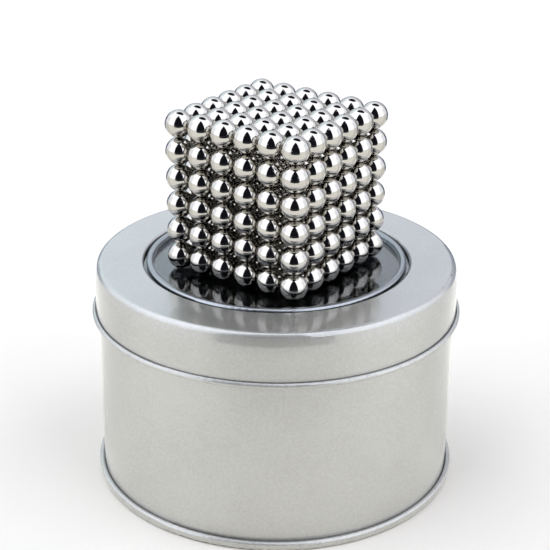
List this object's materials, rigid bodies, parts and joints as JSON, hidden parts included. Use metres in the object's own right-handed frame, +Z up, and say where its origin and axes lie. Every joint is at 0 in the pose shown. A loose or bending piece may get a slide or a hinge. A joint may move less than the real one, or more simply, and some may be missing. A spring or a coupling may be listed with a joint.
{
  "type": "magnet ball cube on a tin",
  "caption": "Cube of loose polished magnet balls standing on the clear window of the round slip-lid tin that stores them.",
  "frame": {"origin": "centre of the tin's underside, on the face the tin rests on", "axes": "+Z up along the tin's axis, +X along the rows of balls, +Y across the rows; the cube's sides face X and Y"},
  "size_m": [0.0686, 0.0686, 0.0708],
  "materials": {
    "tinplate": "satin",
    "nickel_balls": "polished",
    "clear_plastic": "gloss",
    "seal_tape": "matte",
    "black_foam": "matte"
  },
  "bodies": {
    "tin": {"tin_wall": "tinplate", "tin_base": "tinplate", "foam_liner": "black_foam"},
    "lid": {"lid_shell": "tinplate", "window_seal_ring": "seal_tape", "window_pane": "clear_plastic"},
    "layer_1": {"layer_1_row_1": "nickel_balls", "layer_1_row_2": "nickel_balls", "layer_1_row_3": "nickel_balls", "layer_1_row_4": "nickel_balls", "layer_1_row_5": "nickel_balls", "layer_1_row_6": "nickel_balls"},
    "layer_2": {"layer_2_row_1": "nickel_balls", "layer_2_row_2": "nickel_balls", "layer_2_row_3": "nickel_balls", "layer_2_row_4": "nickel_balls", "layer_2_row_5": "nickel_balls", "layer_2_row_6": "nickel_balls"},
    "layer_3": {"layer_3_row_1": "nickel_balls", "layer_3_row_2": "nickel_balls", "layer_3_row_3": "nickel_balls", "layer_3_row_4": "nickel_balls", "layer_3_row_5": "nickel_balls", "layer_3_row_6": "nickel_balls"},
    "layer_4": {"layer_4_row_1": "nickel_balls", "layer_4_row_2": "nickel_balls", "layer_4_row_3": "nickel_balls", "layer_4_row_4": "nickel_balls", "layer_4_row_5": "nickel_balls", "layer_4_row_6": "nickel_balls"},
    "layer_5": {"layer_5_row_1": "nickel_balls", "layer_5_row_2": "nickel_balls", "layer_5_row_3": "nickel_balls", "layer_5_row_4": "nickel_balls", "layer_5_row_5": "nickel_balls", "layer_5_row_6": "nickel_balls"},
    "top_row_1": {"layer_6_row_1": "nickel_balls"},
    "top_row_2": {"layer_6_row_2": "nickel_balls"},
    "top_row_3": {"layer_6_row_3": "nickel_balls"},
    "top_row_4": {"layer_6_row_4": "nickel_balls"},
    "top_row_5": {"layer_6_row_5": "nickel_balls"},
    "top_row_6": {"layer_6_row_6": "nickel_balls"}
  },
  "joints": [
    {"name": "lid_lift", "type": "slide", "parent": "tin", "child": "lid", "axis": [0, 0, 1], "range_m": [0, 0.04]},
    {"name": "cube_lift", "type": "slide", "parent": "lid", "child": "layer_1", "axis": [0, 0, 1], "range_m": [0, 0.03]},
    {"name": "layer_2_lift", "type": "slide", "parent": "layer_1", "child": "layer_2", "axis": [0, 0, 1], "range_m": [0, 0.015]},
    {"name": "layer_3_lift", "type": "slide", "parent": "layer_2", "child": "layer_3", "axis": [0, 0, 1], "range_m": [0, 0.015]},
    {"name": "layer_4_lift", "type": "slide", "parent": "layer_3", "child": "layer_4", "axis": [0, 0, 1], "range_m": [0, 0.015]},
    {"name": "layer_5_lift", "type": "slide", "parent": "layer_4", "child": "layer_5", "axis": [0, 0, 1], "range_m": [0, 0.015]},
    {"name": "top_row_1_slide", "type": "slide", "parent": "layer_5", "child": "top_row_1", "axis": [1, 0, 0], "range_m": [-0.03, 0.03]},
    {"name": "top_row_2_slide", "type": "slide", "parent": "layer_5", "child": "top_row_2", "axis": [1, 0, 0], "range_m": [-0.03, 0.03]},
    {"name": "top_row_3_slide", "type": "slide", "parent": "layer_5", "child": "top_row_3", "axis": [1, 0, 0], "range_m": [-0.03, 0.03]},
    {"name": "top_row_4_slide", "type": "slide", "parent": "layer_5", "child": "top_row_4", "axis": [1, 0, 0], "range_m": [-0.03, 0.03]},
    {"name": "top_row_5_slide", "type": "slide", "parent": "layer_5", "child": "top_row_5", "axis": [1, 0, 0], "range_m": [-0.03, 0.03]},
    {"name": "top_row_6_slide", "type": "slide", "parent": "layer_5", "child": "top_row_6", "axis": [1, 0, 0], "range_m": [-0.03, 0.03]}
  ]
}
